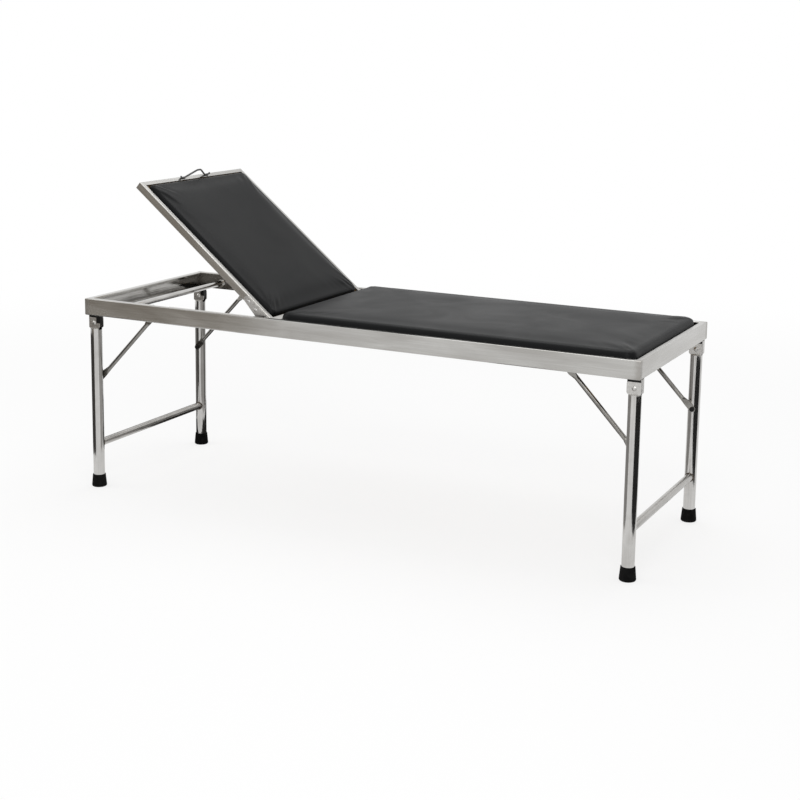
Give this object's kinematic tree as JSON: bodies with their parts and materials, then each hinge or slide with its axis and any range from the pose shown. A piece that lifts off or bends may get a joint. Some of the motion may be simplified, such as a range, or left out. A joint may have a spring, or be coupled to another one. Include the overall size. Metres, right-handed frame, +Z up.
{
  "type": "examination table",
  "caption": "Stainless steel examination table with a flat padded seat, an adjustable padded backrest with a handle, and folding braced legs on rubber ferrules.",
  "frame": {"origin": "on the floor under the middle of the table", "axes": "+X from the head end (backrest) towards the foot end, +Y towards the far side, +Z up"},
  "size_m": [1.9056, 0.666, 1.056],
  "materials": {
    "polished_sheet": "polished folded stainless sheet",
    "polished_tube": "polished stainless tube",
    "bright_hardware": "bright stainless fittings",
    "black_bolts": "black round bolt caps",
    "black_rod": "black painted rod",
    "black_bracket": "black painted steel",
    "plywood": "bare plywood",
    "leatherette": "black grained leatherette",
    "rubber": "dull black rubber"
  },
  "bodies": {
    "frame": {"deck_cross_member_1": "polished_sheet", "deck_cross_member_2": "polished_sheet", "deck_cross_member_3": "polished_sheet", "foot_rail": "polished_sheet", "head_rail": "polished_sheet", "hinge_cross_member": "polished_sheet", "hinge_fixed_leaf_far": "bright_hardware", "hinge_fixed_leaf_near": "bright_hardware", "leg_bracket_foot_far": "black_bracket", "leg_bracket_foot_near": "black_bracket", "leg_bracket_head_far": "black_bracket", "leg_bracket_head_near": "black_bracket", "rest_bar": "polished_tube", "rest_bar_collars": "polished_sheet", "seat_board": "plywood", "seat_pad": "leatherette", "side_rail_far": "polished_sheet", "side_rail_near": "polished_sheet", "stay_guide_foot_far": "polished_sheet", "stay_guide_foot_near": "polished_sheet", "stay_guide_head_far": "polished_sheet", "stay_guide_head_near": "polished_sheet"},
    "head_legs": {"ferrule_head_far": "rubber", "ferrule_head_near": "rubber", "leg_brace_head": "polished_tube", "leg_caps_head": "polished_tube", "leg_fork_head_far": "polished_sheet", "leg_fork_head_near": "polished_sheet", "leg_head_far": "polished_tube", "leg_head_near": "polished_tube", "pivot_rivets_head": "bright_hardware", "stay_bolts_head": "black_bolts"},
    "foot_legs": {"ferrule_foot_far": "rubber", "ferrule_foot_near": "rubber", "leg_brace_foot": "polished_tube", "leg_caps_foot": "polished_tube", "leg_foot_far": "polished_tube", "leg_foot_near": "polished_tube", "leg_fork_foot_far": "polished_sheet", "leg_fork_foot_near": "polished_sheet", "pivot_rivets_foot": "bright_hardware", "stay_bolts_foot": "black_bolts"},
    "backrest": {"backrest_board": "plywood", "backrest_bottom_rail": "polished_sheet", "backrest_handle": "black_rod", "backrest_pad": "leatherette", "backrest_side_rail_far": "polished_sheet", "backrest_side_rail_near": "polished_sheet", "backrest_top_rail": "polished_sheet", "hinge_moving_leaf_far": "bright_hardware", "hinge_moving_leaf_near": "bright_hardware", "hinge_pins": "bright_hardware", "leaf_rivets": "bright_hardware"},
    "stay_foot_far": {"stay_foot_far": "polished_tube"},
    "stay_foot_near": {"stay_foot_near": "polished_tube"},
    "stay_head_far": {"stay_head_far": "polished_tube"},
    "stay_head_near": {"stay_head_near": "polished_tube"}
  },
  "joints": [
    {"name": "backrest_tilt", "type": "hinge", "parent": "frame", "child": "backrest", "pos_m": [-0.272, 0, 0.621], "axis": [0, 1, 0], "range_deg": [-39, 36]},
    {"name": "head_legs_fold", "type": "hinge", "parent": "frame", "child": "head_legs", "pos_m": [-0.928, 0, 0.56], "axis": [0, -1, 0], "range_deg": [0, 90]},
    {"name": "foot_legs_fold", "type": "hinge", "parent": "frame", "child": "foot_legs", "pos_m": [0.928, 0, 0.56], "axis": [0, 1, 0], "range_deg": [0, 90]},
    {"name": "stay_head_near_swing", "type": "hinge", "parent": "head_legs", "child": "stay_head_near", "pos_m": [-0.928, -0.2838, 0.37], "axis": [0, -1, 0], "range_deg": [-129.93, 0]},
    {"name": "stay_head_far_swing", "type": "hinge", "parent": "head_legs", "child": "stay_head_far", "pos_m": [-0.928, 0.2838, 0.37], "axis": [0, -1, 0], "range_deg": [-129.93, 0]},
    {"name": "stay_foot_near_swing", "type": "hinge", "parent": "foot_legs", "child": "stay_foot_near", "pos_m": [0.928, -0.2838, 0.37], "axis": [0, 1, 0], "range_deg": [-129.93, 0]},
    {"name": "stay_foot_far_swing", "type": "hinge", "parent": "foot_legs", "child": "stay_foot_far", "pos_m": [0.928, 0.2838, 0.37], "axis": [0, 1, 0], "range_deg": [-129.93, 0]}
  ],
  "couplings": [
    {"joint": "stay_head_near_swing", "follows": "head_legs_fold", "ratio": -1.4436},
    {"joint": "stay_head_far_swing", "follows": "head_legs_fold", "ratio": -1.4436},
    {"joint": "stay_foot_near_swing", "follows": "foot_legs_fold", "ratio": -1.4436},
    {"joint": "stay_foot_far_swing", "follows": "foot_legs_fold", "ratio": -1.4436}
  ]
}
